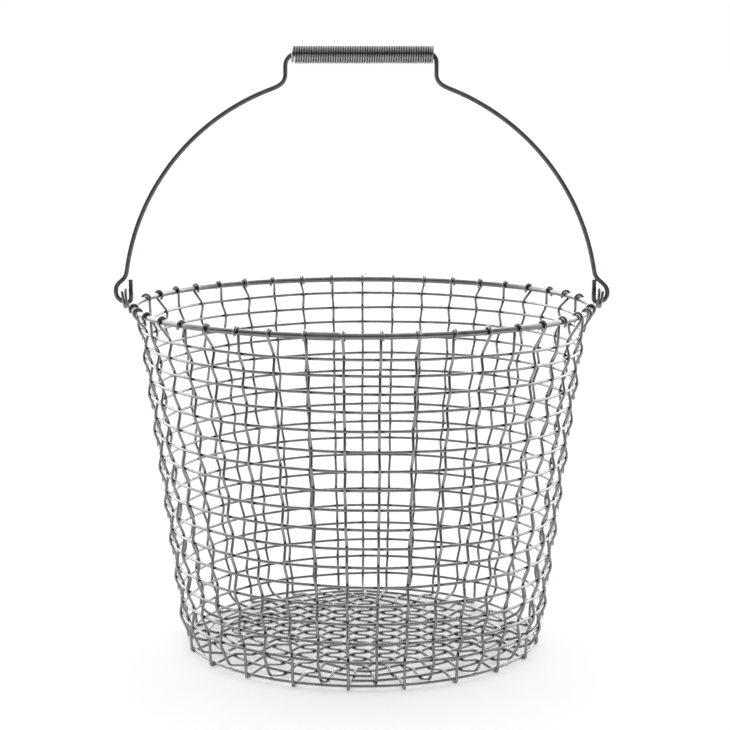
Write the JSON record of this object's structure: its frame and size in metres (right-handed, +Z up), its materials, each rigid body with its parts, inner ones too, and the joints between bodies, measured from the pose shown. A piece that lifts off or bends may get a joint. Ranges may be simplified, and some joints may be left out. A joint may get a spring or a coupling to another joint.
{
  "type": "wire basket",
  "caption": "Round woven steel wire basket with a heavier rim, tapered open-mesh wall and base, and a swinging bail handle that carries a loose wound wire grip.",
  "frame": {"origin": "centre of the basket on the plane that it stands on", "axes": "+Z up; X runs from one bail eye to the other; +Y completes the right-handed frame, across the bail"},
  "size_m": [0.3668, 0.3455, 0.4446],
  "materials": {
    "weave_steel": "drawn bright wire",
    "rim_steel": "drawn bright wire",
    "bail_steel": "drawn wire, darker",
    "coil_steel": "drawn wire, close wound"
  },
  "bodies": {
    "basket": {"rim_ring": "rim_steel", "rim_sleeve": "rim_steel", "base_ring": "weave_steel", "base_turn_01": "weave_steel", "base_turn_02": "weave_steel", "base_turn_03": "weave_steel", "weft_turn_01": "weave_steel", "weft_turn_02": "weave_steel", "weft_turn_03": "weave_steel", "weft_turn_04": "weave_steel", "weft_turn_05": "weave_steel", "weft_turn_06": "weave_steel", "weft_turn_07": "weave_steel", "weft_turn_08": "weave_steel", "weft_turn_09": "weave_steel", "weft_turn_10": "weave_steel", "weft_turn_11": "weave_steel", "weft_turn_12": "weave_steel", "weft_turn_13": "weave_steel", "weft_turn_14": "weave_steel", "weft_turn_15": "weave_steel", "weft_turn_16": "weave_steel", "weft_turn_17": "weave_steel", "weft_turn_18": "weave_steel", "long_wire_01": "weave_steel", "long_wire_02": "weave_steel", "long_wire_03": "weave_steel", "long_wire_04": "weave_steel", "long_wire_05": "weave_steel", "long_wire_06": "weave_steel", "long_wire_07": "weave_steel", "long_wire_08": "weave_steel", "long_wire_09": "weave_steel", "long_wire_10": "weave_steel", "long_wire_11": "weave_steel", "cross_wire_01": "weave_steel", "cross_wire_02": "weave_steel", "cross_wire_03": "weave_steel", "cross_wire_04": "weave_steel", "cross_wire_05": "weave_steel", "cross_wire_06": "weave_steel", "cross_wire_07": "weave_steel", "cross_wire_08": "weave_steel", "cross_wire_09": "weave_steel", "cross_wire_10": "weave_steel"},
    "bail": {"bail_wire": "bail_steel"},
    "grip": {"grip_coil": "coil_steel"}
  },
  "joints": [
    {"name": "bail_swing", "type": "hinge", "parent": "basket", "child": "bail", "pos_m": [0, 0, 0.2563], "axis": [1, 0, 0], "range_deg": [-85, 85]},
    {"name": "grip_spin", "type": "hinge", "parent": "bail", "child": "grip", "pos_m": [0, 0, 0.4376], "axis": [1, 0, 0], "continuous": true}
  ]
}
